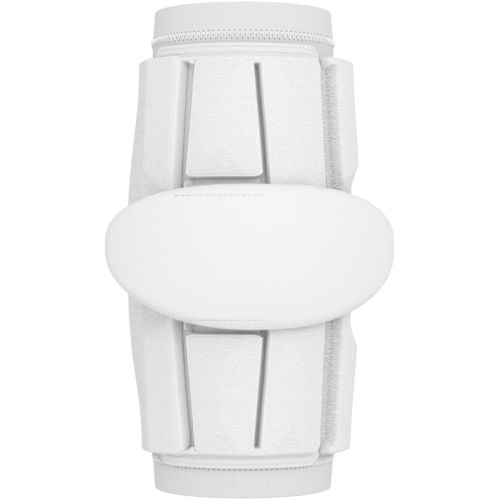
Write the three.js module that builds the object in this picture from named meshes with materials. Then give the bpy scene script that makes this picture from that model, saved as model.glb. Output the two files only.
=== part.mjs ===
import * as THREE from "three";

// A padded lacrosse arm guard for one arm, in the shape it has when it is worn.
// Millimetres. Z runs along the arm with the upper arm up, and the elbow cap faces -Y.
// The origin is on the arm's axis, halfway along the sleeve.

// The knitted sleeve and its rib-knit cuffs. Sections are ellipses, wider at the elbow.
const sleeveLength = 300;
const cuffLength = 20;
const rimHalfWidth = 55.5;
const rimHalfDepth = 45;
const seamHalfWidth = 57;
const seamHalfDepth = 46;
const elbowHalfWidth = 61;
const elbowHalfDepth = 49;
const elbowShift = 1.6; // the elbow's section lies this far towards +X
const sleeveWall = 2;
const cuffWall = 2.6;
const hemRounding = 0.9;
const clearance = 0.3; // between neighbouring pieces

// The moulded sheets that carry the foam
const sheetThickness = 4.5;
const padsShift = -3.3; // the pads' middle lies this far up the sleeve
const mainSheetReach = 128.4; // from the pads' middle to each end
const mainSheetWingTrim = 8.6; // the sheet stops this far short under the left wing
const rightSheetTrim = 5.9; // the right sheet stops this far short of the main one's ends
const rightSheetReach = mainSheetReach - rightSheetTrim;
const sheetCorner = 9;
const sheetDraft = 1.5; // how far the sheets' cut edges lean back

// The foam blocks and wings
const blockThickness = 8.5;
const flangeLength = 9.5; // of the main sheet, past the blocks' outer ends
const blockReach = mainSheetReach - flangeLength;
const wingBorder = 1.3; // of the right sheet, past the wings' outer ends
const wingReach = rightSheetReach - wingBorder;
const elbowGap = 92; // between the two centre-left blocks
const capSeatGap = 58; // between the two centre-right blocks, whose ends lie under the cap
const rightWingGap = 61;
const blockCorner = 5;
const wingCorner = 7;
const blockDraft = 2.2; // how far a steep moulded wall leans back
const wingDraft = 5; // the wings' soft inner wall
const endDraft = 3;
const facetRise = 1.3; // height of the blocks' shallow facets

// The elbow cap, a curved oval shell turned towards +X with the pads
const capHalfWidth = 85.5;
const capRise = 36;
const capDrop = 50;
const capWidestAt = 3; // height of the oval's widest row
const capThickness = 12.5;
const capDepth = 60; // how far back the cap's ends wrap, at full turn
const capEndSine = 0.95; // how far round its curve the cap reaches, as a sine
const capCrown = 2.5; // the cap's middle stands this far out of its edges
const capTurn = 8; // degrees

const white = (name, color, roughness) =>
  new THREE.MeshStandardMaterial({ name, color, roughness, metalness: 0 });
const knit = white("sleeve_knit", 0xe3e3e3, 0.95);
const rib = white("rib_knit", 0xdedede, 0.95);
const sheet = white("moulded_sheet", 0xe8e8e8, 0.6);
const foam = white("grained_foam", 0xebebeb, 0.62);
const capSkin = white("cap_skin", 0xf0f0f0, 0.5);

const radians = THREE.MathUtils.degToRad;
const mix = THREE.MathUtils.lerp;
const seamHeight = sleeveLength / 2 - cuffLength;

// The sleeve's ellipse at a height: elbow to seam on a cosine, then straight to the rim
function section(height) {
  const reach = Math.abs(height);
  if (reach > seamHeight) {
    const share = (reach - seamHeight) / cuffLength;
    return {
      halfWidth: mix(seamHalfWidth, rimHalfWidth, share),
      halfDepth: mix(seamHalfDepth, rimHalfDepth, share),
      shift: 0,
    };
  }
  const elbow = Math.cos((reach / seamHeight) * (Math.PI / 2)) ** 2;
  return {
    halfWidth: mix(seamHalfWidth, elbowHalfWidth, elbow),
    halfDepth: mix(seamHalfDepth, elbowHalfDepth, elbow),
    shift: elbowShift * elbow,
  };
}

// A point at an angle round the sleeve, 0 in front and positive towards +X,
// at a distance out from the sleeve's surface
function onSleeve(degrees, height, out) {
  const { halfWidth, halfDepth, shift } = section(height);
  const sine = Math.sin(radians(degrees));
  const cosine = Math.cos(radians(degrees));
  const normal = new THREE.Vector2(sine / halfWidth, -cosine / halfDepth).normalize();
  return new THREE.Vector3(
    shift + halfWidth * sine + normal.x * out,
    -halfDepth * cosine + normal.y * out,
    height,
  );
}

// Adds the triangles of a grid of points. Columns run to the right seen from outside, rows run up.
// A triangle that has shrunk to a line, as at the middle of a ring of points, is left out.
const shortestSide = 1e-4;
function addGrid(triangles, point, columns, rows) {
  const addTriangle = (a, b, c) => {
    const sides = [a.distanceTo(b), b.distanceTo(c), c.distanceTo(a)];
    if (Math.min(...sides) > shortestSide) triangles.push(a, b, c);
  };
  for (let row = 0; row < rows; row++)
    for (let column = 0; column < columns; column++) {
      const low = point(column, row);
      const lowNext = point(column + 1, row);
      const high = point(column, row + 1);
      const highNext = point(column + 1, row + 1);
      addTriangle(low, lowNext, highNext);
      addTriangle(low, highNext, high);
    }
}

function piece(name, triangles, material) {
  const geometry = new THREE.BufferGeometry().setFromPoints(triangles);
  geometry.computeVertexNormals();
  const mesh = new THREE.Mesh(geometry, material);
  mesh.name = name;
  return mesh;
}

// A tube round the arm from a closed profile of heights and distances out from the sleeve's surface
function tube(name, profile, segments, material) {
  const triangles = [];
  const point = (column, row) => {
    const [height, out] = profile[row % profile.length];
    return onSleeve(((column % segments) * 360) / segments, height, out);
  };
  addGrid(triangles, point, segments, profile.length);
  return piece(name, triangles, material);
}

const sleeveSegments = 48;
const sleeveRows = 10;

function sleeveBody() {
  const end = seamHeight - clearance / 2;
  const outside = [];
  for (let row = 0; row <= sleeveRows; row++)
    outside.push([mix(-end, end, row / sleeveRows), 0]);
  const inside = outside.map(([height]) => [height, -sleeveWall]).reverse();
  return tube("sleeve_body", [...outside, ...inside], sleeveSegments, knit);
}

// side is 1 for the upper cuff and -1 for the lower. The rim is a turned hem with round edges.
function cuff(name, side) {
  const seam = side * (seamHeight + clearance / 2);
  const rim = (side * sleeveLength) / 2;
  const shoulder = rim - side * hemRounding;
  const profile = [
    [seam, 0],
    [shoulder, 0],
    [rim, -hemRounding],
    [rim, hemRounding - cuffWall],
    [shoulder, -cuffWall],
    [seam, -cuffWall],
  ];
  return tube(name, side > 0 ? profile : profile.reverse(), sleeveSegments, rib);
}

// Stops from 0 to 1 across a pad: close together on the sloping walls, and between them either
// a number of even steps or a list of shares
function stops(length, firstWall, lastWall, between) {
  const first = firstWall / length;
  const last = 1 - lastWall / length;
  const wallShares = [0, 0.3, 0.65];
  const even = (steps) => Array.from({ length: steps - 1 }, (_, i) => (i + 1) / steps);
  const inner = Array.isArray(between) ? between : even(between);
  const middle = [0, ...inner, 1].map((share) => mix(first, last, share));
  return [
    ...wallShares.map((share) => share * first),
    ...middle,
    ...wallShares.map((share) => 1 - share * (1 - last)).reverse(),
  ];
}

// Height of a moulded wall, as a share, at a distance in from its foot
const wallShare = (inset, draft) => Math.sin((Math.PI / 2) * Math.min(1, inset / draft));

// A sheet, block or wing that lies on the sleeve. innerEnd and outerEnd are heights on the sleeve,
// edges gives its left and right angles at a share from innerEnd to outerEnd, endTrim how much
// shorter both ends are at an angle, and surface the height as a share of the thickness.
function moulded(name, spec, material) {
  const { innerEnd, outerEnd, edges, seat, thickness, drafts, corner, between, surface } = spec;
  const endTrim = spec.endTrim ?? (() => 0);
  const length = Math.abs(outerEnd - innerEnd);
  const [midLeft, midRight] = edges(0.5);
  const width = radians(midRight - midLeft) * ((elbowHalfWidth + elbowHalfDepth) / 2);
  const across = stops(width, drafts.left, drafts.right, between.across);
  const along = stops(length, drafts.inner, drafts.outer, between.along);
  const rounding = (inset) =>
    inset < corner ? corner - Math.sqrt(corner ** 2 - (corner - inset) ** 2) : 0;
  const upwards = outerEnd > innerEnd;

  const place = (column, row, out) => {
    const acrossShare = across[column];
    const alongShare = along[upwards ? row : along.length - 1 - row];
    const [left, right] = edges(alongShare);
    const sideInset = Math.min(acrossShare, 1 - acrossShare) * width;
    const angle = mix(left, right, acrossShare);
    const shorter = (rounding(sideInset) + endTrim(angle)) / length;
    const height = mix(innerEnd, outerEnd, alongShare + shorter * (1 - 2 * alongShare));
    return onSleeve(angle, height, out(acrossShare, alongShare));
  };
  const seatOut = () => seat;
  const faceOut = (acrossShare, alongShare) => {
    const walls = Math.min(
      wallShare(acrossShare * width, drafts.left),
      wallShare((1 - acrossShare) * width, drafts.right),
      wallShare(alongShare * length, drafts.inner),
      wallShare((1 - alongShare) * length, drafts.outer),
    );
    return seat + thickness * walls * surface(acrossShare, alongShare, width, length);
  };

  const triangles = [];
  const columns = across.length - 1;
  const rows = along.length - 1;
  addGrid(triangles, (column, row) => place(column, row, faceOut), columns, rows);
  addGrid(triangles, (column, row) => place(columns - column, row, seatOut), columns, rows);
  return piece(name, triangles, material);
}

// Reads a column of a table at a place, straight between its rows and level past its ends
function readTable(table, place, column) {
  const next = table.findIndex((row) => row.at >= place);
  if (next < 0) return table.at(-1)[column];
  if (next === 0) return table[0][column];
  const [low, high] = [table[next - 1], table[next]];
  return mix(low[column], high[column], (place - low.at) / (high.at - low.at));
}
const edgesFrom = (table) => (share) => [
  readTable(table, share, "left"),
  readTable(table, share, "right"),
];

// Angles of the sheets' and pads' edges, in degrees round the sleeve. For the sheets and the left
// wing, at runs from the lower end to the upper. For the others it runs outwards from the elbow.
const mainSheetEdges = [{ at: 0, left: -104, right: 48.5 }];
const rightSheetEdges = [{ at: 0, left: 49.2, right: 128 }];
// How the main sheet's flange turns down beside the left wing: shares of the trim, by angle
const flangeCorner = [
  { at: -61.5, trim: 1 },
  { at: -58.5, trim: 0.4 },
  { at: -55.5, trim: 0.1 },
  { at: -52, trim: 0 },
];
const centreLeftEdges = [
  { at: 0, left: -30.1, right: 7.3 },
  { at: 0.5, left: -27.2, right: 6.2 },
  { at: 1, left: -24.3, right: 5.6 },
];
const centreRightEdges = [
  { at: 0, left: 11.6, right: 43.3 },
  { at: 0.5, left: 10.4, right: 42.6 },
  { at: 1, left: 9.2, right: 42.3 },
];
const leftWingEdges = [
  { at: 0, left: -104, right: -27 },
  { at: 0.34, left: -104, right: -31.8 },
  { at: 0.5, left: -104, right: -33 },
  { at: 0.66, left: -104, right: -31.8 },
  { at: 1, left: -104, right: -27.2 },
];
const rightWingEdges = [
  { at: 0, left: 51.5, right: 126 },
  { at: 0.5, left: 53, right: 126 },
  { at: 1, left: 54.5, right: 124 },
];

const padSeat = clearance + sheetThickness + clearance;
const fromMiddle = (distance) => padsShift + distance;
const flat = () => 1;

function mainPanelBacking() {
  return moulded(
    "main_panel_backing",
    {
      innerEnd: fromMiddle(-mainSheetReach),
      outerEnd: fromMiddle(mainSheetReach),
      edges: edgesFrom(mainSheetEdges),
      seat: clearance,
      thickness: sheetThickness,
      drafts: { left: sheetDraft, right: sheetDraft, inner: sheetDraft, outer: sheetDraft },
      corner: sheetCorner,
      endTrim: (angle) => mainSheetWingTrim * readTable(flangeCorner, angle, "trim"),
      between: { across: 20, along: 10 },
      surface: flat,
    },
    sheet,
  );
}

function rightPanelBacking() {
  return moulded(
    "right_panel_backing",
    {
      innerEnd: fromMiddle(-rightSheetReach),
      outerEnd: fromMiddle(rightSheetReach),
      edges: edgesFrom(rightSheetEdges),
      seat: clearance,
      thickness: sheetThickness,
      drafts: { left: sheetDraft, right: sheetDraft, inner: sheetDraft, outer: sheetDraft },
      corner: wingCorner,
      between: { across: 11, along: 10 },
      surface: flat,
    },
    sheet,
  );
}

// The centre blocks' faces are cut like a shallow hipped roof: a ridge down the middle,
// and a wedge that falls to each end. Shares of the block's length and width.
function hipped({ innerHip, outerHip, innerFall, outerFall }) {
  return (acrossShare, alongShare) => {
    const side = Math.abs(acrossShare - 0.5) * 2;
    const inner = Math.max(0, (innerHip - alongShare) / innerHip) * innerFall;
    const outer = Math.max(0, (alongShare - outerHip) / (1 - outerHip)) * outerFall;
    return 1 - (facetRise / blockThickness) * Math.max(side, inner, outer);
  };
}

function centreBlock(name, side, innerReach, edges, hip) {
  return moulded(
    name,
    {
      innerEnd: fromMiddle(side * innerReach),
      outerEnd: fromMiddle(side * blockReach),
      edges: edgesFrom(edges),
      seat: padSeat,
      thickness: blockThickness,
      drafts: { left: blockDraft, right: blockDraft, inner: endDraft, outer: endDraft },
      corner: blockCorner,
      between: { across: 5, along: 6 },
      surface: hipped(hip),
    },
    foam,
  );
}

const leftHip = { innerHip: 0.42, outerHip: 0.62, innerFall: 1.8, outerFall: 1.8 };
const rightHip = { innerHip: 0.26, outerHip: 0.62, innerFall: 1.2, outerFall: 1.8 };

// The wings' heights over the seat at named lines, as shares of the blocks' thickness. across is
// the share of the wing's width, from the left.
const leftWingLines = [
  { at: 0, outerEnds: 0.4, elbow: 0.85 },
  { at: 0.2, outerEnds: 0.42, elbow: 0.98 },
  { at: 0.64, outerEnds: 0.96, elbow: 0.92 },
  { at: 0.68, outerEnds: 1, elbow: 0.72 },
  { at: 1, outerEnds: 1, elbow: 0.6 },
];
// How much of the way to its elbow form the wing is, by the share of its length
const leftWingBlend = [
  { at: 0, elbow: 0 },
  { at: 0.29, elbow: 0.25 },
  { at: 0.34, elbow: 0.85 },
  { at: 0.4, elbow: 1 },
  { at: 0.6, elbow: 1 },
  { at: 0.66, elbow: 0.85 },
  { at: 0.71, elbow: 0.25 },
  { at: 1, elbow: 0 },
];

function leftWingPad() {
  return moulded(
    "left_wing_pad",
    {
      innerEnd: fromMiddle(-wingReach),
      outerEnd: fromMiddle(wingReach),
      edges: edgesFrom(leftWingEdges),
      seat: padSeat,
      thickness: blockThickness,
      drafts: { left: blockDraft, right: wingDraft, inner: endDraft, outer: endDraft },
      corner: wingCorner,
      between: { across: 8, along: 16 },
      surface: (acrossShare, alongShare) =>
        mix(
          readTable(leftWingLines, acrossShare, "outerEnds"),
          readTable(leftWingLines, acrossShare, "elbow"),
          readTable(leftWingBlend, alongShare, "elbow"),
        ),
    },
    foam,
  );
}

const rightWingLines = [
  { at: 0, outerEnds: 1, elbow: 0.8 },
  { at: 0.32, outerEnds: 1, elbow: 0.2 },
  { at: 0.54, outerEnds: 0.8, elbow: 0.1 },
  { at: 1, outerEnds: 0.55, elbow: 0.1 },
];
const rightWingBlend = [
  { at: 0, elbow: 1 },
  { at: 0.3, elbow: 0 },
  { at: 1, elbow: 0 },
];

function rightWingPad(name, side) {
  return moulded(
    name,
    {
      innerEnd: fromMiddle((side * rightWingGap) / 2),
      outerEnd: fromMiddle(side * wingReach),
      edges: edgesFrom(rightWingEdges),
      seat: padSeat,
      thickness: blockThickness,
      drafts: { left: wingDraft, right: blockDraft, inner: endDraft, outer: endDraft },
      corner: wingCorner,
      between: { across: 9, along: 6 },
      surface: (acrossShare, alongShare) =>
        mix(
          readTable(rightWingLines, acrossShare, "outerEnds"),
          readTable(rightWingLines, acrossShare, "elbow"),
          readTable(rightWingBlend, alongShare, "elbow"),
        ),
    },
    foam,
  );
}

// The cap lies on a curve in plan. Its outline is an oval whose upper and lower halves differ,
// its faces are rings drawn in from that outline, and its edge is half round.
const capUpperPower = 2.75;
const capLowerPower = 2.35;
const capSectors = 36;
// The back of the shell rests on the faces of the centre-right blocks, where their facets
// have fallen by this share of their rise
const seatFall = 0.36;
const capBack = elbowHalfDepth + padSeat + blockThickness - seatFall * facetRise + clearance;
const capFront = capBack + capThickness / 2;
const capSpread = capHalfWidth / capEndSine; // half-width of the curve that the cap follows

function capOutline(angle) {
  const power = Math.sin(angle) > 0 ? capUpperPower : capLowerPower;
  const reach = Math.sin(angle) > 0 ? capRise : capDrop;
  const curve = (value) => Math.sign(value) * Math.abs(value) ** (2 / power);
  return new THREE.Vector2(
    capHalfWidth * curve(Math.cos(angle)),
    capWidestAt + reach * curve(Math.sin(angle)),
  );
}

function elbowCap() {
  const edge = capThickness / 2;
  const middle = new THREE.Vector2(0, capWidestAt + (capRise - capDrop) / 2);
  const outline = (sector) => capOutline((sector / capSectors) * 2 * Math.PI);
  const inward = (sector) => {
    const tangent = outline(sector + 0.5).sub(outline(sector - 0.5)).normalize();
    return new THREE.Vector2(-tangent.y, tangent.x);
  };
  // Rings from the edge inwards: the distance in and how thick the shell is there
  const edgeShares = [0, 0.07, 0.29, 0.62, 1];
  const ringShares = [0.75, 0.5, 0.25, 0];
  const flatPoint = (sector, ring) => {
    const turn = sector % capSectors;
    if (ring < edgeShares.length)
      return outline(turn).addScaledVector(inward(turn), edgeShares[ring] * edge);
    const inset = outline(turn).addScaledVector(inward(turn), edge);
    return middle.clone().lerp(inset, ringShares[ring - edgeShares.length]);
  };
  const halfThickness = (ring) =>
    ring < edgeShares.length ? edge * Math.sqrt(1 - (1 - edgeShares[ring]) ** 2) : edge;
  const shellPoint = (sector, ring, face) => {
    const flatPlace = flatPoint(sector, ring);
    const sine = flatPlace.x / capSpread;
    const cosine = Math.sqrt(1 - sine ** 2);
    const normal = new THREE.Vector2(sine / capSpread, -cosine / capDepth).normalize();
    const fromMiddleRow = (2 * (flatPlace.y - middle.y)) / (capRise + capDrop);
    const crown = face > 0 ? capCrown * (1 - fromMiddleRow ** 2) : 0;
    const out = halfThickness(ring) * (face + crown / edge);
    return new THREE.Vector3(
      flatPlace.x + normal.x * out,
      capDepth * (1 - cosine) - capFront + normal.y * out,
      flatPlace.y,
    );
  };
  const rings = edgeShares.length + ringShares.length - 1;
  const triangles = [];
  addGrid(triangles, (sector, ring) => shellPoint(sector, ring, 1), capSectors, rings);
  addGrid(triangles, (sector, ring) => shellPoint(capSectors - sector, ring, -1), capSectors, rings);
  return piece("elbow_cap", triangles, capSkin);
}

const armPad = new THREE.Group();
armPad.add(
  sleeveBody(),
  cuff("upper_cuff", 1),
  cuff("lower_cuff", -1),
  mainPanelBacking(),
  rightPanelBacking(),
  leftWingPad(),
);
for (const [half, side] of [
  ["upper", 1],
  ["lower", -1],
]) {
  armPad.add(
    centreBlock(`${half}_centre_left_block`, side, elbowGap / 2, centreLeftEdges, leftHip),
    centreBlock(`${half}_centre_right_block`, side, capSeatGap / 2, centreRightEdges, rightHip),
    rightWingPad(`${half}_right_wing_pad`, side),
  );
}
const turnedWithPads = new THREE.Group();
turnedWithPads.rotation.z = radians(capTurn);
turnedWithPads.add(elbowCap());
armPad.add(turnedWithPads);

export default armPad;
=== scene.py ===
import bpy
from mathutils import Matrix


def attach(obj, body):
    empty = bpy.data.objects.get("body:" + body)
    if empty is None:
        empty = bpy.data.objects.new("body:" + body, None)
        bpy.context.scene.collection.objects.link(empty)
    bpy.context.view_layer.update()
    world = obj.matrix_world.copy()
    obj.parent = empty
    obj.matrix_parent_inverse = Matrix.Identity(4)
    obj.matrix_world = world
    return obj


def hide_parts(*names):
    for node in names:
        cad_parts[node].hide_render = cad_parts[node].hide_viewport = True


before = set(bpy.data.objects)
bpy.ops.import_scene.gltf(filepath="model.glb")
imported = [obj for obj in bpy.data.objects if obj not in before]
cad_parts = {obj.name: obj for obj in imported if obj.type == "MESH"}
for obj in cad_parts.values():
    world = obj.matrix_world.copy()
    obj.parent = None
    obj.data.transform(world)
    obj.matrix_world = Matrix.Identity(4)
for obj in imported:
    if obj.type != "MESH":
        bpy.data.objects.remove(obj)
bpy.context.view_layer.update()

import math
from collections import namedtuple

import bpy
from mathutils import Vector, noise

# The knitted sleeve: a tube of white stretch knit that the arm pulls to this shape.
# Its front lies under the moulded sheets, and its bare back has a few soft pulls in it.
# Sizes here and below are in millimetres, and angles in degrees round the arm, 0 in front.
millimetre = 0.001
seam_height = 130
cuff_length = 20
rim_section = (55.5, 45, 0)  # half-width, half-depth and shift to the right
seam_section = (57, 46, 0)
elbow_section = (61, 49, 1.6)
flat_radius = (elbow_section[0] + elbow_section[1]) / 2
clearance = 0.3
sleeve_wall = 1.6
sleeve_columns = 220
sleeve_row_step = 2
bare_back = (136, 248)  # between the two sheets' edges
pull_depth = 0.9
pull_sizes = (22, 60)  # round the arm and along it
pull_lean = 0.22  # millimetres round the arm for each one along it
pull_level = 0.55  # taken from the noise, so that the cloth lies in nearly everywhere
pull_slice = 3.7  # which part of the noise it is
pull_fade = 20  # degrees beside each sheet over which the pulls begin
pull_stop = (25, 5)  # distances from a seam between which they end
seam_ridge = 0.5  # the upper seam stands this far out
seam_slope = (1.5, 4.5)  # distances from the seam between which its ridge falls away
seam_joint = 0.04  # left open between the two cut edges
stitch_count = 110  # round each seam
stitch_rows = (-2.3, 2.5)  # distances of the needle holes from the seam
weld = 1e-6
cloth_edge = 60  # degrees: the cloth looks smooth over any smaller turn


def mix(first, second, share):
    return first + (second - first) * share


def rise(value, low, high):
    """0 below low, 1 above high, and a smooth rise between."""
    share = min(1, max(0, (value - low) / (high - low)))
    return share * share * (3 - 2 * share)


def arc_of(degrees):
    """Millimetres round the arm for an angle."""
    return math.radians(degrees) * flat_radius


def section_at(height):
    """The arm's ellipse: elbow to seam on a cosine, then straight to the rim."""
    reach = abs(height)
    if reach > seam_height:
        share = (reach - seam_height) / cuff_length
        return [mix(a, b, share) for a, b in zip(seam_section, rim_section)]
    share = math.cos(reach / seam_height * math.pi / 2) ** 2
    return [mix(a, b, share) for a, b in zip(seam_section, elbow_section)]


def on_sleeve(degrees, height, out):
    """A place at an angle round the sleeve, a height, and a distance out from its surface."""
    half_width, half_depth, shift = section_at(height)
    sine = math.sin(math.radians(degrees))
    cosine = math.cos(math.radians(degrees))
    away = Vector((sine / half_width, -cosine / half_depth, 0)).normalized()
    surface = Vector((shift + half_width * sine, -half_depth * cosine, height))
    return (surface + away * out) * millimetre


def flat_blank(name, columns, rows):
    """A flat sheet of one face a unit, so that a vertex's x and y are its column and row."""
    bpy.ops.object.select_all(action="DESELECT")
    bpy.ops.mesh.primitive_grid_add(x_subdivisions=columns, y_subdivisions=rows, size=1)
    blank = bpy.context.object
    blank.name = name
    blank.data.name = name
    for vertex in blank.data.vertices:
        vertex.co.x = round((vertex.co.x + 0.5) * columns)
        vertex.co.y = round((vertex.co.y + 0.5) * rows)
    return blank


def lay(blank, place, flat_place):
    """Moves each vertex to its place, and keeps its flat place in millimetres as the UV map."""
    mesh = blank.data
    starts = [vertex.co.copy() for vertex in mesh.vertices]
    flat = [flat_place(start) for start in starts]
    uv = mesh.uv_layers.active.data
    for loop in mesh.loops:
        uv[loop.index].uv = flat[loop.vertex_index]
    for vertex, start in zip(mesh.vertices, starts):
        vertex.co = place(start)


def close(piece, smooth_angle):
    """Welds what meets, turns the faces outwards and smooths all but sharp edges."""
    bpy.ops.object.mode_set(mode="EDIT")
    bpy.ops.mesh.select_all(action="SELECT")
    bpy.ops.mesh.remove_doubles(threshold=weld)
    bpy.ops.mesh.normals_make_consistent(inside=False)
    bpy.ops.object.mode_set(mode="OBJECT")
    bpy.ops.object.shade_smooth_by_angle(angle=math.radians(smooth_angle))


def linear(hex_colour):
    """An sRGB hex colour as Blender's linear one."""
    shares = [int(hex_colour[i : i + 2], 16) / 255 for i in (1, 3, 5)]
    return [s / 12.92 if s <= 0.04045 else ((s + 0.055) / 1.055) ** 2.4 for s in shares] + [1]


def add_node(tree, kind, settings=None, inputs=None):
    """Adds a node. A setting is an attribute, and an input is a value or another node's socket."""
    node = tree.nodes.new(kind)
    for name, value in (settings or {}).items():
        setattr(node, name, value)
    for name, value in (inputs or {}).items():
        if isinstance(value, bpy.types.NodeSocket):
            tree.links.new(value, node.inputs[name])
        else:
            node.inputs[name].default_value = value
    return node


def new_material(name):
    """A named material with an empty node tree, and its tree."""
    material = bpy.data.materials.new(name)
    material.use_nodes = True
    material.node_tree.nodes.clear()
    return material, material.node_tree


def finish_material(tree, surface):
    add_node(tree, "ShaderNodeOutputMaterial", {}, {"Surface": surface.outputs[0]})


def dress(piece, material, slot, *nodes):
    """Gives a piece its material, its body and the CAD nodes that it stands for. Its slot is not used."""
    piece.data.materials.clear()
    piece.data.materials.append(material)
    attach(piece, "root")
    if nodes:
        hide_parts(*nodes)


def pull(degrees, height):
    """How far out the bare cloth lies, mostly below 0, from slack that an arm leaves in it."""
    start, end = bare_back
    bare = rise(degrees, start, start + pull_fade) * (1 - rise(degrees, end - pull_fade, end))
    ends = 1 - rise(abs(height), *(seam_height - distance for distance in pull_stop))
    lean = arc_of(degrees) + height * pull_lean
    wave = noise.noise(Vector((lean / pull_sizes[0], height / pull_sizes[1], pull_slice)))
    return pull_depth * bare * ends * (wave - pull_level)


def seam_swell(height):
    """How far the cloth's doubled edges lift it at the upper seam."""
    return seam_ridge * (1 - rise(abs(height - seam_height), *seam_slope))


sleeve_end = seam_height - seam_joint
sleeve_rows = round(2 * sleeve_end / sleeve_row_step)
sleeve = flat_blank("knit_sleeve", sleeve_columns, sleeve_rows)
girth = 2 * math.pi * flat_radius


def sleeve_place(start):
    degrees = start.x / sleeve_columns * 360
    height = mix(-sleeve_end, sleeve_end, start.y / sleeve_rows)
    return on_sleeve(degrees, height, pull(degrees, height) + seam_swell(height))


def sleeve_flat(start):
    return (start.x / sleeve_columns * girth, mix(-sleeve_end, sleeve_end, start.y / sleeve_rows))


lay(sleeve, sleeve_place, sleeve_flat)
close(sleeve, cloth_edge)
wall = sleeve.modifiers.new("cloth thickness", "SOLIDIFY")
wall.thickness = sleeve_wall * millimetre
wall.offset = -1
bpy.ops.object.modifier_apply(modifier=wall.name)

# Stretch knit: polyester and elastane jersey, machine knitted in columns of small loops.
# It looks matt and soft, with fine upright rows. The loops are 1.2 mm wide and 1.0 mm tall.
knit_colours = ("#C6C6C8", "#D8D8D9")  # painted shade in the valleys, and the knit's own colour on the tops
knit_relief = (0.35, 0.3)  # strength, and depth in millimetres
loop_width = 1.2
loop_height = 1.0
loop_row_share = 0.35  # how much the rows show beside the columns
hole_radius = 0.45
hole_edge = (0.6, 1.3)  # shares of the radius between which a hole's shade ends
# Painted shade: the needle holes are not cut into the cloth, only painted dark where they are.
painted_hole_shade = "#6A6A6C"
cloth_roughness = 0.95
cloth_sheen = 0.15
cloth_specular = 0.25


def wave_of(tree, value, period):
    """A wave between 0 and 1 along a value in millimetres."""
    turns = add_node(tree, "ShaderNodeMath", {"operation": "MULTIPLY"}, {0: value, 1: 2 * math.pi / period})
    sine = add_node(tree, "ShaderNodeMath", {"operation": "SINE"}, {0: turns.outputs[0]})
    wave = add_node(
        tree, "ShaderNodeMath", {"operation": "MULTIPLY_ADD"}, {0: sine.outputs[0], 1: 0.5, 2: 0.5}
    )
    return wave.outputs[0]


def needle_holes(tree, across, along, pitch, row, start):
    """1 on the cloth and 0 in the needle's holes, which are one pitch apart along a row, from
    a start in shares of the pitch."""
    turns = add_node(
        tree, "ShaderNodeMath", {"operation": "MULTIPLY_ADD"}, {0: across, 1: 1 / pitch, 2: start}
    )
    share = add_node(tree, "ShaderNodeMath", {"operation": "FRACT"}, {0: turns.outputs[0]})
    beside = add_node(
        tree, "ShaderNodeMath", {"operation": "MULTIPLY_ADD"}, {0: share.outputs[0], 1: pitch, 2: -pitch / 2}
    )
    above = add_node(tree, "ShaderNodeMath", {"operation": "SUBTRACT"}, {0: along, 1: row})
    offset = add_node(tree, "ShaderNodeCombineXYZ", {}, {0: beside.outputs[0], 1: above.outputs[0]})
    distance = add_node(tree, "ShaderNodeVectorMath", {"operation": "LENGTH"}, {0: offset.outputs[0]})
    inside, outside = [hole_radius * edge for edge in hole_edge]
    cloth = add_node(
        tree,
        "ShaderNodeMapRange",
        {"interpolation_type": "SMOOTHSTEP"},
        {"Value": distance.outputs["Value"], "From Min": inside, "From Max": outside},
    )
    return cloth.outputs[0]


def finish_cloth(tree, pattern, holes, colours, relief):
    """Paints shade into a knit's valleys and its own colour on its tops, paints shade into the needle's
    holes, and raises it.
    """
    valley, top = [linear(colour) for colour in colours]
    strength, depth = relief
    # Painted shade: the valleys between the loops are painted darker than the tops.
    shade = add_node(
        tree, "ShaderNodeMix", {"data_type": "RGBA"}, {"Factor": pattern, 6: valley, 7: top}
    )
    # Painted shade in the needle holes.
    holed = add_node(
        tree,
        "ShaderNodeMix",
        {"data_type": "RGBA"},
        {"Factor": holes, 6: linear(painted_hole_shade), 7: shade.outputs[2]},
    )
    bump = add_node(
        tree, "ShaderNodeBump", {}, {"Strength": strength, "Distance": depth * millimetre, "Height": pattern}
    )
    cloth = add_node(
        tree,
        "ShaderNodeBsdfPrincipled",
        {},
        {
            "Base Color": holed.outputs[2],
            "Roughness": cloth_roughness,
            "Sheen Weight": cloth_sheen,
            "Specular IOR Level": cloth_specular,
            "Normal": bump.outputs[0],
        },
    )
    finish_material(tree, cloth)


knit, tree = new_material("polyester_jersey_knit")
flat_map = add_node(tree, "ShaderNodeUVMap")
parts = add_node(tree, "ShaderNodeSeparateXYZ", {}, {0: flat_map.outputs[0]})
from_middle = add_node(tree, "ShaderNodeMath", {"operation": "ABSOLUTE"}, {0: parts.outputs["Y"]})
sleeve_holes = needle_holes(
    tree,
    across=parts.outputs["X"],
    along=from_middle.outputs[0],
    pitch=girth / stitch_count,
    row=seam_height + stitch_rows[0],
    start=0.5,
)
columns_wave = wave_of(tree, parts.outputs["X"], loop_width)
rows_wave = wave_of(tree, parts.outputs["Y"], loop_height)
loops = add_node(
    tree, "ShaderNodeMath", {"operation": "MULTIPLY_ADD"}, {0: rows_wave, 1: loop_row_share, 2: columns_wave}
)
finish_cloth(tree, loops.outputs[0], sleeve_holes, knit_colours, knit_relief)
dress(sleeve, knit, "sleeve_knit", "sleeve_body")

# The two cuffs: bands of fine rib knit, turned over at the rim into a soft round hem
# and sewn to the sleeve edge to edge.
cuff_wall = 2.6
hem_radius = 1.3
hem_steps = 10
band_shares = (0, 0.08, 0.15, 0.22, 0.3, 0.6, 0.8)  # rows from the seam to the hem
cuff_columns = 160


def cuff_profile():
    """Distance from the seam and distance out, round the wall's section, closed."""
    reach = cuff_length - hem_radius
    outside = [(mix(seam_joint, reach, share), 0) for share in band_shares]
    hem = []
    for step in range(hem_steps + 1):
        turn = math.pi * step / hem_steps
        hem.append((reach + hem_radius * math.sin(turn), hem_radius * math.cos(turn) - hem_radius))
    inside = [(along, -cuff_wall) for along, out in reversed(outside)]
    return outside + hem + inside


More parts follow.
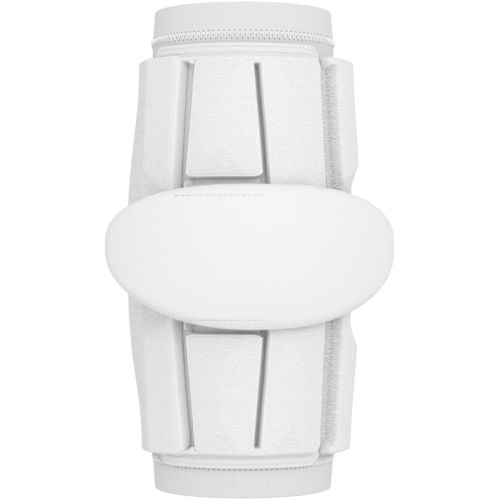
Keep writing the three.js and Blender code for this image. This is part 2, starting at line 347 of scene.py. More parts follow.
# Rib knit: the same yarn in upright ribs 1.08 mm apart. Light catches each rib's round top.
rib_pitch = 1.08
rib_colours = ("#D2D2D4", "#DDDDDE")  # painted shade in the valleys, and the rib's own colour on the tops
rib_relief = (0.5, 0.4)  # strength, and depth in millimetres
cuff_girth = girth * seam_section[0] / elbow_section[0]
rib, tree = new_material("polyester_rib_knit")
flat_map = add_node(tree, "ShaderNodeUVMap")
parts = add_node(tree, "ShaderNodeSeparateXYZ", {}, {0: flat_map.outputs[0]})
ribs = wave_of(tree, parts.outputs["X"], rib_pitch)
cuff_holes = needle_holes(
    tree,
    across=parts.outputs["X"],
    along=parts.outputs["Y"],
    pitch=cuff_girth / stitch_count,
    row=stitch_rows[1],
    start=0,
)
finish_cloth(tree, ribs, cuff_holes, rib_colours, rib_relief)

profile = cuff_profile()
for name, side in (("upper_cuff", 1), ("lower_cuff", -1)):
    band = flat_blank(name + "_rib", cuff_columns, len(profile))

    def cuff_place(start):
        along, out = profile[int(start.y) % len(profile)]
        height = side * (seam_height + along)
        return on_sleeve(start.x / cuff_columns * 360, height, out + seam_swell(height))

    def cuff_flat(start):
        along, out = profile[int(start.y) % len(profile)]
        return (start.x / cuff_columns * cuff_girth, along)

    lay(band, cuff_place, cuff_flat)
    close(band, cloth_edge)
    dress(band, rib, "rib_knit", name)

# The flatlock seams: a zigzag of white thread that joins each cuff to the sleeve.
# The needle pulls the thread down into the cloth at every turn.
thread_radius = 0.34
thread_colour = "#F0F0F0"
thread_roughness = 0.6
thread_sheen = 0.1
stitch_steps = 8
stitch_lift = (-0.6, 0.3, 0.5)  # at a hole, beside it and between two holes


def thread_material(name, colour):
    """Spun polyester thread with a slight shine, twisted too finely to show."""
    material, tree = new_material(name)
    gloss = add_node(
        tree,
        "ShaderNodeBsdfPrincipled",
        {},
        {"Base Color": linear(colour), "Roughness": thread_roughness, "Sheen Weight": thread_sheen},
    )
    finish_material(tree, gloss)
    return material


seam_thread = thread_material("polyester_thread", thread_colour)
for name, side in (("upper", 1), ("lower", -1)):
    bpy.ops.object.select_all(action="DESELECT")
    bpy.ops.mesh.primitive_circle_add(vertices=stitch_count * stitch_steps, radius=1)
    seam = bpy.context.object
    seam.name = name + "_flatlock_thread"
    half = stitch_steps // 2
    for index, vertex in enumerate(seam.data.vertices):
        step = index % stitch_steps
        from_lower = min(step, stitch_steps - step)
        height = side * (seam_height + mix(*stitch_rows, from_lower / half))
        lift = stitch_lift[min(from_lower, half - from_lower)]
        vertex.co = on_sleeve(index / len(seam.data.vertices) * 360, height, lift + seam_swell(height))
    bpy.ops.object.convert(target="CURVE")
    seam.data.bevel_depth = thread_radius * millimetre
    seam.data.bevel_resolution = 1
    bpy.ops.object.convert(target="MESH")
    seam = bpy.context.object
    bpy.ops.object.shade_smooth()
    dress(seam, seam_thread, "rib_knit")

# The main sheet: white foam moulded flat and bent round the arm, under a grained skin.
# It carries the centre blocks and the left wing. Above and below them it ends in a thin
# flange with two pressed lines, and a raised bar that closes the channels between the pads.
sheet_thickness = 4.5
pads_shift = -3.3
main_sheet_reach = 128.4
main_sheet_edges = (-104, 48.8)
flare = 1.2  # the right edge runs out this much further at both ends
flare_power = 12
main_sheet_corner = 9
sheet_draft = 0.9
rim_lift = 0.7
undercut = 1.2  # the rim is lifted over this much of its width
wing_trim = 8.6  # the sheet stops this far short under the left wing
trim_shares = [(-62.5, 1), (-60, 0.4), (-57, 0.1), (-53.5, 0)]
lower_trim_turn = 6  # degrees further right at the lower end
flange_lines = (3.0, 6.6)  # distances in from the sheet's outer ends
border_share = 1.43  # the lines lie this much closer to the right edge
line_half_width = 0.5
line_depth = 0.45
bar_at = 8.3  # the bar's foot, from the sheet's outer ends
bar_height = 10.5
bar_left = -42
bar_right = 46
bar_corner = 5
bar_draft = 1.1
channel_start = 13.2
channel_slope = 1.6
channel_round = 2  # a channel's end is this much longer in its middle
channel_near = 2  # its end shapes the sheet this many half-widths from its middle
channel_edge = 0.7  # the share of the half-width where its side wall starts
border_left = 39
border_rise = 1  # degrees over which the border beside the bar comes up
main_sheet_steps = ((8, 0.4, 1), (16, 0.3, 2))
foam_edge = 40  # degrees: a pad looks smooth over any smaller turn

# The slit and the left channel: angles of the middle by distance from the pads' middle,
# half-width, height of the floor, and how much longer than the slit at each end
sheet_channels = [
    ([(31, 11.1), (72, 9.6), (119, 7.3)], 2.2, 1.8, 0),
    ([(31, -37), (52, -36.3), (64, -35.4), (87, -33.6), (119, -31.2)], 3.1, 3.8, 1.8),
]

# A low web beside the left channel, from the centre blocks' corners in under the cap
web_edges = (-32.4, -28.8)
web_reach = 45.4
web_height = 11.5
web_draft = 0.9


def read_table(table, place):
    """A value between a table's rows, straight between them and level past the ends."""
    if place <= table[0][0]:
        return table[0][1]
    for (low, low_value), (high, high_value) in zip(table, table[1:]):
        if place <= high:
            return mix(low_value, high_value, (place - low) / (high - low))
    return table[-1][1]


def stops(length, fine_zone, fine_step, step):
    """Distances from 0 to length. They are a fine step apart in a zone at each end, and about
    a step apart between the two. A pad's steps give these three for its width and its length."""
    fine = [index * fine_step for index in range(round(fine_zone / fine_step))]
    count = max(1, round((length - 2 * fine_zone) / step))
    middle = [mix(fine_zone, length - fine_zone, index / count) for index in range(count + 1)]
    return fine + middle + [length - place for place in reversed(fine)]


def pressed_line(distance, at, half_width, depth):
    """How deep a rounded line lies at a distance, when it runs at another."""
    return depth * (1 - rise(abs(distance - at), 0, half_width))


def shoulder(inset, draft):
    """Share of the full height at a distance in from the foot of a moulded wall."""
    share = min(1, inset / draft)
    return math.sqrt(1 - (1 - share) ** 2)


def rounded_inset(first, second, corner):
    """Distance in from a rounded corner, from the distances in from its two sides."""
    if first < corner and second < corner:
        return corner - math.hypot(corner - first, corner - second)
    return min(first, second)


# Where a vertex of a pad lies: distances in from its four edges, its angle and its height
Spot = namedtuple("Spot", "left right inner outer degrees height")


def moulded_pad(name, ends, edges, seat, corner, steps, face, end_trim=None, edge_lift=0, smooth=None):
    """A closed pad on the sleeve. ends are its inner and outer heights, edges gives its left
    and right angles at a share of the way out, and face its height over the seat at a spot.
    edge_lift raises its rim off the sleeve, so that the edge is round below as well, and smooth gives where
    the skin's grain is pressed flat or made deeper. This also paints the skin lighter or darker there:
    painted highlight and painted shade."""
    inner_end, outer_end = ends
    length = abs(outer_end - inner_end)
    left, right = edges(0.5)
    width = arc_of(right - left)
    across = stops(width, *steps[0])
    along = stops(length, *steps[1])
    blank = flat_blank(name, len(across) - 1, len(along) - 1)
    bpy.ops.object.mode_set(mode="EDIT")
    bpy.ops.mesh.select_all(action="SELECT")
    bpy.ops.mesh.duplicate()
    bpy.ops.transform.translate(value=(0, 0, -1))
    bpy.ops.object.mode_set(mode="OBJECT")

    def spot(start):
        sideways = across[round(start.x)]
        onward = along[round(start.y)]
        share = onward / length
        low, high = edges(share)
        degrees = mix(low, high, sideways / width)
        near_side = min(sideways, width - sideways)
        shorter = end_trim(degrees, onward < length / 2) if end_trim else 0
        if near_side < corner:
            shorter += corner - math.sqrt(corner**2 - (corner - near_side) ** 2)
        height = mix(inner_end, outer_end, share + shorter / length * (1 - 2 * share))
        return Spot(sideways, width - sideways, onward, length - onward, degrees, height)

    def place(start):
        """The upper face follows the pad's form, and the copy one unit below it stays down."""
        at = spot(start)
        near = min(at.left, at.right, at.inner, at.outer)
        lift = edge_lift * (1 - shoulder(near, undercut))
        out = max(lift, face(at)) if start.z > -0.5 else lift
        return on_sleeve(at.degrees, at.height, seat + out)

    def flat_place(start):
        at = spot(start)
        return (arc_of(at.degrees), at.height)

    # The grain value sets how deep the grain is, and it also paints the skin lighter or darker: painted
    # highlight and painted shade.
    grain = blank.data.attributes.new("grain", "FLOAT", "POINT")
    for index, vertex in enumerate(blank.data.vertices):
        grain.data[index].value = 1 - (smooth(spot(vertex.co)) if smooth else 0)
    lay(blank, place, flat_place)
    close(blank, foam_edge)
    return blank


def main_sheet_face(at):
    end = min(at.inner, at.outer)
    wall = shoulder(min(at.left, at.right, end), sheet_draft)
    inset = rounded_inset(end, at.right * border_share, main_sheet_corner)
    lines = sum(pressed_line(inset, where, line_half_width, line_depth) for where in flange_lines)
    surface = (sheet_thickness - lines) * wall

    reach = abs(at.height - pads_shift)
    beside, channel_floor, longer = min(
        (arc_of(abs(at.degrees - read_table(middle, reach))) / half_width, low, extra)
        for middle, half_width, low, extra in sheet_channels
    )
    near_middle = min(1, beside) ** 2 * (beside < channel_near)
    round_end = channel_start - longer + channel_round * near_middle
    in_channel = rise(end, round_end, round_end + channel_slope)
    surface = mix(surface, channel_floor, (1 - rise(beside, channel_edge, 1)) * in_channel)

    right_of_bar = arc_of(bar_right - at.degrees)
    left_of_bar = arc_of(at.degrees - bar_left)
    to_bar = min(rounded_inset(end - bar_at, right_of_bar, bar_corner), left_of_bar)
    solid = max(1 - in_channel, rise(at.degrees, border_left - border_rise, border_left))
    left_of_web = arc_of(at.degrees - web_edges[0])
    right_of_web = arc_of(web_edges[1] - at.degrees)
    web = web_height * shoulder(max(0, min(left_of_web, right_of_web, web_reach - reach)), web_draft)
    return max(surface, bar_height * shoulder(max(0, to_bar), bar_draft) * solid, web)


main_sheet = moulded_pad(
    "main_sheet",
    (pads_shift - main_sheet_reach, pads_shift + main_sheet_reach),
    lambda share: (main_sheet_edges[0], main_sheet_edges[1] + flare * abs(2 * share - 1) ** flare_power),
    clearance,
    main_sheet_corner,
    main_sheet_steps,
    main_sheet_face,
    end_trim=lambda degrees, lower: wing_trim * read_table(trim_shares, degrees - lower_trim_turn * lower),
    edge_lift=rim_lift,
)

# Grained foam skin: a thin polyurethane film, pressed on the foam in the mould with a fine
# leather grain. It is satin, and its wavy creases run across the pad, 1.4 mm apart, joining
# and parting every 2.6 mm, with a finer pebble between them.
sheet_colours = ("#D9D9DA", "#DEDEDF")  # painted shade in the creases, and the skin's own colour between them
leather_creases = (1.4, 2.6)  # distance apart, and length until two creases meet
crease_sway = 8  # radians that a crease leaves its row by
pebble_size = 0.8
wave_turn = 20  # the wave texture's radians for each unit
skin_specular = 0.3


def grained_skin(name, colours, creases, roughness, depth, pebble_share, pressed=False):
    """A skin with its grain's depth in millimetres, painted darker in its creases: painted shade. On a piece
    whose skin is pressed, the piece's own grain value flattens the grain below 1 and deepens it above, and
    it also paints the skin lighter below 1 and darker above, even past the creases' colour: painted
    highlight and painted shade."""
    crease_painted_shade, colour = [linear(shade) for shade in colours]
    crease_spacing, crease_length = creases
    material, tree = new_material(name)
    object_place = add_node(tree, "ShaderNodeTexCoord")
    wave_scale = 2 * math.pi / wave_turn / (crease_spacing * millimetre)
    creases = add_node(
        tree,
        "ShaderNodeTexWave",
        {"wave_type": "BANDS", "bands_direction": "Z", "wave_profile": "SIN"},
        {
            "Vector": object_place.outputs["Object"],
            "Scale": wave_scale,
            "Distortion": crease_sway,
            "Detail": 1.0,
            "Detail Scale": 1 / (crease_length * millimetre * wave_scale),
            "Detail Roughness": 0.5,
        },
    )
    pebbles = add_node(
        tree,
        "ShaderNodeTexNoise",
        {},
        {
            "Vector": object_place.outputs["Object"],
            "Scale": 1 / (pebble_size * millimetre),
            "Detail": 1.0,
            "Roughness": 0.5,
        },
    )
    grain = add_node(
        tree,
        "ShaderNodeMath",
        {"operation": "MULTIPLY_ADD"},
        {0: pebbles.outputs[0], 1: pebble_share, 2: creases.outputs["Fac"]},
    )
    height = grain.outputs[0]
    factor = creases.outputs["Fac"]
    # The piece's grain value also sets the colour: painted highlight where it is below 1, painted shade
    # where it is above.
    if pressed:
        missing = add_node(
            tree, "ShaderNodeMath", {"operation": "SUBTRACT"}, {0: creases.outputs["Fac"], 1: 1.0}
        )
        share = add_node(tree, "ShaderNodeAttribute", {"attribute_name": "grain"})
        height = add_node(
            tree, "ShaderNodeMath", {"operation": "MULTIPLY"}, {0: height, 1: share.outputs["Fac"]}
        ).outputs[0]
        factor = add_node(
            tree,
            "ShaderNodeMath",
            {"operation": "MULTIPLY_ADD"},
            {0: missing.outputs[0], 1: share.outputs["Fac"], 2: 1.0},
        ).outputs[0]
    bump = add_node(
        tree, "ShaderNodeBump", {}, {"Strength": 1.0, "Distance": depth * millimetre, "Height": height}
    )
    # Painted shade: the creases are painted darker than the skin between them.
    shade = add_node(
        tree,
        "ShaderNodeMix",
        {"data_type": "RGBA", "clamp_factor": False},
        {"Factor": factor, 6: crease_painted_shade, 7: colour},
    )
    skin = add_node(
        tree,
        "ShaderNodeBsdfPrincipled",
        {},
        {
            "Base Color": shade.outputs[2],
            "Roughness": roughness,
            "Normal": bump.outputs[0],
            "Specular IOR Level": skin_specular,
        },
    )
    finish_material(tree, skin)
    return material


sheet_skin = grained_skin(
    "grained_foam_sheet_skin", sheet_colours, leather_creases, roughness=0.62, depth=0.04, pebble_share=0.5
)
dress(main_sheet, sheet_skin, "moulded_sheet", "main_panel_backing")

# The right sheet: the same moulded foam sheet, under the two right wings. It is a piece of
# its own, and its left rim, beside the main sheet, is pressed down thin.
right_sheet_reach = 122.5
right_sheet_edges = (49.4, 128)
right_rim = (0.9, 1.8)  # its left rim is pressed down this far in
right_rim_share = 0.1
wing_corner = 7
right_sheet_steps = ((2.8, 0.35, 2), (2.8, 0.35, 2))


def right_sheet_face(at):
    wall = shoulder(min(at.left, at.right, at.inner, at.outer), sheet_draft)
    return sheet_thickness * wall * mix(right_rim_share, 1, rise(at.left, *right_rim))


right_sheet = moulded_pad(
    "right_sheet",
    (pads_shift - right_sheet_reach, pads_shift + right_sheet_reach),
    lambda share: right_sheet_edges,
    clearance,
    wing_corner,
    right_sheet_steps,
    right_sheet_face,
    edge_lift=rim_lift,
)
dress(right_sheet, sheet_skin, "moulded_sheet", "right_panel_backing")

# The left wing: one long pad of foam, moulded on the main sheet, that wraps the arm's left
# side. It has flat facets: high beside the centre blocks, low at its outer edge, and filled
# out at the elbow.
pad_seat = clearance + sheet_thickness + clearance
block_thickness = 8.5
wing_reach = 121.2
wing_steps = ((3, 0.3, 1.2), (3, 0.3, 1.2))
wing_draft = 1.6
steep_draft = 2.2
wing_end_draft = 2.6

# Its right edge in degrees, by the share of the way up
left_wing_right_edge = [
    (0, -31),
    (0.03, -31.2),
    (0.14, -33.9),
    (0.28, -36),
    (0.5, -36.6),
    (0.72, -36.2),
    (0.86, -34.7),
    (0.97, -33.1),
    (1, -32.8),
]

# Shares of the full height across the wing, from its outer edge, at its ends and at the elbow
left_wing_outer_ends = [
    (0, 0.4),
    (0.2, 0.42),
    (0.5, 0.72),
    (0.655, 0.99),
    (0.665, 1),
    (0.75, 0.9),
    (0.83, 0.86),
    (0.91, 0.89),
    (1, 1),
]
left_wing_elbow = [(0, 0.85), (0.2, 0.98), (0.64, 0.92), (0.68, 0.72), (1, 0.6)]
left_crease = 0.66  # share of the width where the flat front facet starts
crease_blend = 0.08  # share of the width over which the outer facet turns into it
chamfer_reach = 52  # where that facet ends towards the elbow, from the pads' middle
chamfer_lean = 50  # its upper edge comes this much closer for the whole width
chamfer_width = 13
outer_swell = (106, 30)  # where the outer facet starts to fill out, and where it's full
left_wing_slimming = (0.3, 0.1)  # the outer facet's share lost towards the lower and upper ends
slimming_reach = (60, 115)  # distances from the pads' middle between which it comes in
slimming_width = (0.3, 0.6)  # shares of the width between which it goes out
outer_grain_and_painted_shade = 0.4  # how much deeper the outer facet's creases are, which also paints the facet darker: painted shade
crest_smooth_and_painted_highlight = 0.7  # how much of the grain is pressed flat along the right edge, which also paints a lighter strip there: painted highlight
crest_zone = (2, 4)  # distances past the draft between which that ends
crease_blur = 0.01  # half the share of the width over which the grain changes at the crease
chamfer_blur = 1  # half the distance over which it changes at the chamfer


def left_wing_face(at):
    across = at.left / (at.left + at.right)
    reach = abs(at.height - pads_shift)
    wall = min(
        shoulder(at.left, steep_draft),
        shoulder(at.right, wing_draft),
        shoulder(at.inner, wing_end_draft),
        shoulder(at.outer, wing_end_draft),
    )
    chamfer = chamfer_reach - chamfer_lean * max(0, across - left_crease)
    in_front = min(1, max(0, (chamfer - reach) / chamfer_width))
    outside = 1 - rise(reach, *reversed(outer_swell))
    elbow = mix(outside, in_front, rise(across, left_crease - crease_blend, left_crease))
    form = mix(read_table(left_wing_outer_ends, across), read_table(left_wing_elbow, across), min(1, elbow))
    slimmer = left_wing_slimming[at.height > pads_shift] * rise(reach, *slimming_reach)
    form -= slimmer * (1 - rise(across, *slimming_width))
    return block_thickness * wall * form


def left_wing_grain_and_painted_light(at):
    """The share of the grain pressed flat: the outer facet's creases are deeper instead. The same share
    paints the skin: painted shade on the outer facet and a painted highlight along the right edge.
    """
    across = at.left / (at.left + at.right)
    chamfer = chamfer_reach - chamfer_lean * max(0, across - left_crease)
    in_front = rise(across, left_crease - crease_blur, left_crease + crease_blur)
    in_front *= rise(abs(at.height - pads_shift), chamfer - chamfer_blur, chamfer + chamfer_blur)
    crest = 1 - rise(at.right, *(wing_draft + distance for distance in crest_zone))
    return mix(-outer_grain_and_painted_shade, crest_smooth_and_painted_highlight * crest, in_front)


# Leather-grained skin: the same film, pressed deeper on the blocks and wings.
leather_colours = ("#D8D8DA", "#E2E2E3")  # painted shade in the creases, and the skin's own colour between them
grained_leather = grained_skin(
    "grained_polyurethane_skin",
    leather_colours,
    leather_creases,
    roughness=0.6,
    depth=0.1,
    pebble_share=0.6,
    pressed=True,
)
left_wing = moulded_pad(
    "left_wing",
    (pads_shift - wing_reach, pads_shift + wing_reach),
    lambda share: (main_sheet_edges[0], read_table(left_wing_right_edge, share)),
    pad_seat,
    wing_corner,
    wing_steps,
    left_wing_face,
    smooth=left_wing_grain_and_painted_light,
)
dress(left_wing, grained_leather, "grained_foam", "left_wing_pad")

# The four centre blocks: foam moulded on the main sheet in two columns, each face like a
# shallow hipped roof, with a fine line pressed in all round just inside the edge.
block_reach = 118.9
block_corner = 5
block_draft = 1.3
facet_rise = 2.2
outline_at = 1.9
outline_half_width = 0.45
outline_depth = 0.25
block_steps = ((2.8, 0.2, 0.8), (2.8, 0.2, 0.8))
inner_wedge_grain_and_painted_shade = 0.2  # how much deeper the creases are on the inner and outer wedges, which also paints them darker: painted shade
outer_wedge_grain_and_painted_shade = 0.25
wedge_blur = 0.05  # half the share of the width over which the grain changes at a hip
border_smooth = 0.8  # how much of the grain is pressed flat along the edges
border_zone = (1.2, 2.8)  # distances from the edge between which that ends
centre_left_inner = 46  # the blocks' inner ends, from the pads' middle
centre_right_inner = 29

# A block's left and right edges in degrees, by the share of the way out
centre_left_edges = [(0, -31.8, 10), (0.5, -28.9, 8.3), (1, -26.2, 6.3)]
centre_right_edges = [(0, 12.3, 42.3), (0.5, 10.9, 41), (1, 8.4, 40.5)]

# Distances of the hips' points from the inner and outer ends, and the widths of their bases
centre_left_hip = (19, 17, 0.7, 0.62)
centre_right_hip = (24.2, 17, 1.25, 0.62)


def block_face(hip):
    inner_hip, outer_hip, inner_base, outer_base = hip

    def face(at):
        near = min(at.left, at.right, at.inner, at.outer)
        side = abs(at.left - at.right) / (at.left + at.right)
        inner_fall = max(0, 1 - at.inner / inner_hip) * inner_base
        outer_fall = max(0, 1 - at.outer / outer_hip) * outer_base
        fall = facet_rise * max(side, inner_fall, outer_fall)
        line = pressed_line(near, outline_at, outline_half_width, outline_depth)
        return (block_thickness - fall) * shoulder(near, block_draft) - line

    return face


def block_grain_and_painted_shade(hip):
    """The share of the grain that is pressed flat: most along the edges, while the wedges' creases are
    deeper instead, which paints the wedges darker: painted shade."""
    inner_hip, outer_hip, inner_base, outer_base = hip

    def smooth(at):
        near = min(at.left, at.right, at.inner, at.outer)
        side = abs(at.left - at.right) / (at.left + at.right)
        inner_wedge = rise((1 - at.inner / inner_hip) * inner_base - side, -wedge_blur, wedge_blur)
        outer_wedge = rise((1 - at.outer / outer_hip) * outer_base - side, -wedge_blur, wedge_blur)
        edge = 1 - rise(near, *border_zone)
        return mix(-inner_wedge_grain_and_painted_shade * inner_wedge - outer_wedge_grain_and_painted_shade * outer_wedge, border_smooth, edge)

    return smooth


def block_edges(table):
    """The left and right angles at a share of the way out, from a table with both."""
    return lambda share: [read_table([(row[0], row[side]) for row in table], share) for side in (1, 2)]


for half, side in (("upper", 1), ("lower", -1)):
    for column, edges, inner_reach, hip in (
        ("left", centre_left_edges, centre_left_inner, centre_left_hip),
        ("right", centre_right_edges, centre_right_inner, centre_right_hip),
    ):
        name = half + "_centre_" + column + "_block"
        block = moulded_pad(
            name + "_foam",
            (pads_shift + side * inner_reach, pads_shift + side * block_reach),
            block_edges(edges),
            pad_seat,
            block_corner,
            block_steps,
            block_face(hip),
            smooth=block_grain_and_painted_shade(hip),
        )
        dress(block, grained_leather, "grained_foam", name)

# The two right wings: foam pads, moulded on the right sheet, that fall away round the arm's
# right side, with a soft groove along the sheet's edge and a low wedge at the elbow.
right_wing_gap = 61
right_wing_reach = 121.8
right_wing_corner = 3.5
right_wing_edges = [(0, 50.3, 126), (0.5, 50.3, 126), (1, 50.3, 124)]
right_channel = 4.2  # width of its floor
right_channel_floor = 0.06
right_channel_wall = 3.2
right_channel_end = (4.5, 9)  # distances in from the outer end

# Shares of the full height across the wing, from its left edge, at its ends and at the elbow
right_wing_outer_ends = [(0, 1), (0.32, 1), (0.54, 0.8), (1, 0.55)]
right_wing_elbow = [(0, 0.85), (0.2, 0.7), (0.32, 0.35), (0.54, 0.12), (1, 0.1)]
right_wing_crease = 0.4  # share of the width where the slimming is full
right_wing_slimming = {"upper": 0, "lower": 0.2}
right_chamfer_width = 12
right_chamfer = [(0.09, 46), (0.5, 62)]  # where it starts, from the pads' middle, across the wing
face_smooth = 0.35  # how much of the grain is pressed flat on the faces
lower_chamfer_smooth_and_painted_light = 0.6  # and on the lower wing's chamfer, which also paints it lighter: painted light
groove_grain_and_painted_shade = 1.5  # the creases are this much deeper in the groove, which also paints it darker: painted shade


def right_wing_face(at, slimmer):
    across = at.left / (at.left + at.right)
    onward = at.inner / (at.inner + at.outer)
    wall = min(
        shoulder(at.left, steep_draft),
        shoulder(at.right, steep_draft),
        shoulder(at.inner, wing_end_draft),
        shoulder(at.outer, wing_end_draft),
    )
    past_chamfer = read_table(right_chamfer, across) - abs(at.height - pads_shift)
    channel = mix(right_channel_floor, 1, shoulder(max(0, at.left - right_channel), right_channel_wall))
    wall *= mix(1, channel, rise(wing_reach - abs(at.height - pads_shift), *right_channel_end))
    form = mix(
        read_table(right_wing_outer_ends, across),
        read_table(right_wing_elbow, across),
        min(1, max(0, past_chamfer / right_chamfer_width)),
    )
    form -= slimmer * onward * min(1, across / right_wing_crease)
    return block_thickness * wall * form


def right_wing_grain_and_painted_light(at):
    """The share of the grain pressed flat: the groove's and the upper chamfer's are deeper. It also paints
    the skin: painted shade in the groove and on the upper chamfer, and painted light on the lower chamfer.
    """
    across = at.left / (at.left + at.right)
    past_chamfer = read_table(right_chamfer, across) - abs(at.height - pads_shift)
    in_groove = 1 - rise(at.left, right_channel, right_channel + right_channel_wall)
    in_groove *= rise(wing_reach - abs(at.height - pads_shift), *right_channel_end)
    chamfer_grain_and_painted_light = -outer_grain_and_painted_shade if at.height > pads_shift else lower_chamfer_smooth_and_painted_light
    outside = mix(face_smooth, chamfer_grain_and_painted_light, rise(past_chamfer, -chamfer_blur, chamfer_blur))
    return mix(outside, -groove_grain_and_painted_shade, in_groove)


for half, side in (("upper", 1), ("lower", -1)):
    wing = moulded_pad(
        half + "_right_wing",
        (pads_shift + side * right_wing_gap / 2, pads_shift + side * right_wing_reach),
        block_edges(right_wing_edges),
        pad_seat,
        right_wing_corner,
        wing_steps,
        lambda at: right_wing_face(at, right_wing_slimming[half]),
        smooth=right_wing_grain_and_painted_light,
    )
    dress(wing, grained_leather, "grained_foam", half + "_right_wing_pad")

# The elbow cap: a curved oval shell of firm moulded foam under a smooth satin skin.
# It bridges the four centre blocks and covers the point of the elbow.
cap_half_width = 84.5
cap_rise = 36  # from where it is widest to its upper edge
cap_drop = 50
cap_widest_at = 3
cap_thickness = 12.5
cap_depth = 60  # half-depth and half-width of the ellipse that it bends round
cap_spread = 90
cap_crown = 4  # the front's middle stands this much further out
cap_roll = 3  # the lower edge rolls in by this much more
cap_turn = 8  # degrees towards the right
cap_upper_power = 2.75  # powers of the oval's two halves, where 2 is an ellipse
cap_lower_power = 2.35
cap_sectors = 200
cap_face_rings = 44
cap_edge_rings = 9
cap_smooth = 50  # degrees: the cap looks smooth over any smaller turn
seat_fall = 0.36  # share of a facet's fall where the cap meets the blocks
plain_facet_rise = 1.3  # of the blocks' plain solids
cap_back = elbow_section[1] + pad_seat + block_thickness - seat_fall * plain_facet_rise + clearance
cap_front = cap_back + cap_thickness / 2
cap_edge = cap_thickness / 2
cap_middle = Vector((0, cap_widest_at + (cap_rise - cap_drop) / 2))


def cap_outline(angle):
    """The oval's edge, seen flat. Its upper and lower halves differ."""
    upper = math.sin(angle) > 0
    power = cap_upper_power if upper else cap_lower_power
    reach = cap_rise if upper else cap_drop

    def curve(value):
        return math.copysign(abs(value) ** (2 / power), value)

    return Vector((cap_half_width * curve(math.cos(angle)), cap_widest_at + reach * curve(math.sin(angle))))


def cap_point(x, z, out):
    """A place on the cap's curved middle surface, moved out along its normal."""
    sine = x / cap_spread
    cosine = math.sqrt(1 - sine**2)
    away = Vector((sine / cap_spread, -cosine / cap_depth)).normalized()
    flat = Vector((x + away.x * out, cap_depth * (1 - cosine) - cap_front + away.y * out))
    turn = math.radians(cap_turn)
    return Vector(
        (
            flat.x * math.cos(turn) - flat.y * math.sin(turn),
            flat.x * math.sin(turn) + flat.y * math.cos(turn),
            z,
        )
    ) * millimetre


def crown_at(z):
    """How much further out than its rim the cap's front is at a height."""
    from_middle = 2 * (z - cap_middle.y) / (cap_rise + cap_drop)
    return cap_crown * (1 - from_middle**2) - cap_roll * max(0, -from_middle) ** 3


cap_rings = 2 * (cap_face_rings + cap_edge_rings)
half_sector = math.pi / cap_sectors
bpy.ops.object.select_all(action="DESELECT")
bpy.ops.mesh.primitive_uv_sphere_add(segments=cap_sectors, ring_count=cap_rings, radius=1)
cap = bpy.context.object
cap.name = "elbow_cap_shell"
for vertex in cap.data.vertices:
    start = vertex.co.copy()
    latitude = math.acos(max(-1, min(1, start.z)))
    ring = round(latitude / math.pi * cap_rings)
    front = ring <= cap_rings / 2
    inward_rings = ring if front else cap_rings - ring
    angle = math.atan2(start.y, start.x)
    edge_point = cap_outline(angle)
    tangent = (cap_outline(angle + half_sector) - cap_outline(angle - half_sector)).normalized()
    inward = Vector((-tangent.y, tangent.x))
    if inward_rings >= cap_face_rings:
        turn = (inward_rings - cap_face_rings) / cap_edge_rings * math.pi / 2
        flat = edge_point + inward * cap_edge * (1 - math.sin(turn))
        half_thickness = cap_edge * math.cos(turn)
    else:
        inset = edge_point + inward * cap_edge
        flat = cap_middle.lerp(inset, inward_rings / cap_face_rings)
        half_thickness = cap_edge
    crown = crown_at(flat.y) * half_thickness / cap_edge if front else 0
    out = half_thickness + crown if front else -half_thickness
    vertex.co = cap_point(flat.x, flat.y, out)
bpy.ops.object.mode_set(mode="EDIT")
bpy.ops.mesh.select_all(action="SELECT")
bpy.ops.mesh.normals_make_consistent(inside=False)
bpy.ops.object.mode_set(mode="OBJECT")
bpy.ops.object.shade_smooth_by_angle(angle=math.radians(cap_smooth))

# Satin skin: a smooth polyurethane film, moulded over the foam. It is nearly even, with
# shallow creases across the cap that are 6 mm long and 1.6 mm apart.
cap_colours = ("#DEDEDF", "#E0E0E1")  # painted shade in the creases, and the skin's own colour between them
cap_creases = (1.6, 6)
cap_skin = grained_skin(
    "satin_polyurethane_skin", cap_colours, cap_creases, roughness=0.5, depth=0.03, pebble_share=0.3
)
dress(cap, cap_skin, "cap_skin", "elbow_cap")

# Two rows of lockstitch across the left half of the cap, one near its upper edge and one
# near its lower, sewn in white thread that dips into the skin.
row_ends = (-47, 0.5)
row_heights = (32, -41)
stitch_length = 2.6
stitch_gap = 0.7
stitch_radii = (0.22, 0.2)  # up the cap and out of it
stitch_seat = 0.02  # its middle lies this far out of the skin
stitch_sides = 8
stitch_rings = 6
cap_thread_colour = "#C0C0C2"  # shaded by the skin that it is pulled down into
cap_threads = []
for row_height in row_heights:
    place = row_ends[0]
    while place < row_ends[1]:
        middle = place + stitch_length / 2
        bpy.ops.object.select_all(action="DESELECT")
        bpy.ops.mesh.primitive_uv_sphere_add(segments=stitch_sides, ring_count=stitch_rings, radius=1)
        stitch = bpy.context.object
        for vertex in stitch.data.vertices:
            along, up, away = vertex.co
            x = middle + along * stitch_length / 2
            z = row_height + up * stitch_radii[0]
            out = cap_edge + crown_at(z) + stitch_seat + away * stitch_radii[1]
            vertex.co = cap_point(x, z, out)
        cap_threads.append(stitch)
        place += stitch_length + stitch_gap
bpy.ops.object.select_all(action="DESELECT")
for stitch in cap_threads:
    stitch.select_set(True)
bpy.context.view_layer.objects.active = cap_threads[0]
bpy.ops.object.join()
cap_stitching = bpy.context.object
cap_stitching.name = "cap_stitching"
bpy.ops.object.shade_smooth()
cap_thread = thread_material("polyester_cap_thread", cap_thread_colour)
dress(cap_stitching, cap_thread, "cap_skin")

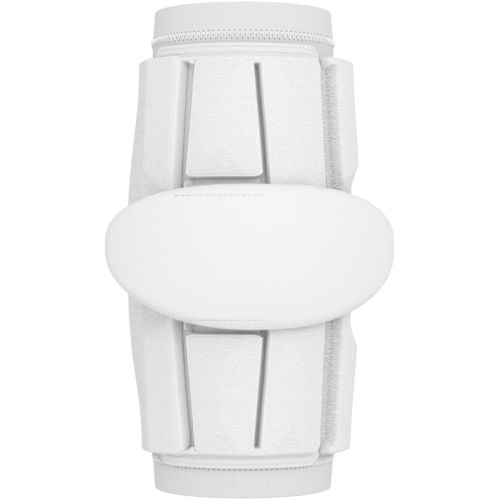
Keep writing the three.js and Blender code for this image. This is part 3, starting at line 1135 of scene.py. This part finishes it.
# The studio: a plain pale floor well below the pad, which hangs free as if worn, and white
# light from all round. A large soft light stands in front at the upper right, and a small
# one at the lower left. Places here are in metres.
floor_height = -0.42
floor_size = 2.2
paper_colour = "#EAEAEA"
paper_roughness = 0.9
sky_strength = 0.938
sky_lift = 0.03  # brighter by this much overhead
backdrop_strength = 1.0  # as the camera sees it
bpy.ops.object.select_all(action="DESELECT")
bpy.ops.mesh.primitive_plane_add(size=floor_size, location=(0, 0, floor_height))
floor = bpy.context.object
floor.name = "studio_floor"
paper, tree = new_material("pale_backdrop_paper")
paper_surface = add_node(
    tree,
    "ShaderNodeBsdfPrincipled",
    {},
    {"Base Color": linear(paper_colour), "Roughness": paper_roughness},
)
finish_material(tree, paper_surface)
floor.data.materials.append(paper)

world = bpy.data.worlds.new("white studio")
bpy.context.scene.world = world
world.use_nodes = True
world.node_tree.nodes.clear()
sky = world.node_tree
upwards = add_node(sky, "ShaderNodeTexCoord")
parts = add_node(sky, "ShaderNodeSeparateXYZ", {}, {0: upwards.outputs["Generated"]})
from_top = add_node(
    sky,
    "ShaderNodeMath",
    {"operation": "MULTIPLY_ADD"},
    {0: parts.outputs["Z"], 1: sky_lift, 2: sky_strength},
)
rays = add_node(sky, "ShaderNodeLightPath")
seen = add_node(sky, "ShaderNodeBackground", {}, {"Color": (1, 1, 1, 1), "Strength": backdrop_strength})
soft = add_node(sky, "ShaderNodeBackground", {}, {"Color": (1, 1, 1, 1), "Strength": from_top.outputs[0]})
both = add_node(
    sky,
    "ShaderNodeMixShader",
    {},
    {0: rays.outputs["Is Camera Ray"], 1: soft.outputs[0], 2: seen.outputs[0]},
)
add_node(sky, "ShaderNodeOutputWorld", {}, {"Surface": both.outputs[0]})


def area_light(name, place, target, size, energy):
    """A round soft light of a diameter and a power in watts, turned to its target."""
    bpy.ops.object.light_add(type="AREA", location=place)
    light = bpy.context.object
    light.name = name
    light.data.shape = "DISK"
    light.data.size = size
    light.data.energy = energy
    light.rotation_euler = (Vector(target) - Vector(place)).to_track_quat("-Z", "Y").to_euler()


area_light("key_light", place=(0.84, -2.5, 0.85), target=(0, 0, 0), size=1.3, energy=18.3)
area_light("low_fill_light", place=(-0.88, -1.4, -0.65), target=(0, 0, -0.12), size=0.7, energy=5.3)

camera_place = (0.00443, -0.95, 0)
camera_lens = 108.07  # millimetres, as is the film's width
film_width = 36
bpy.ops.object.camera_add(location=camera_place, rotation=(math.pi / 2, 0, 0))
camera = bpy.context.object
camera.data.lens = camera_lens
camera.data.sensor_width = film_width
bpy.context.scene.camera = camera
bpy.context.scene.view_settings.view_transform = "Standard"
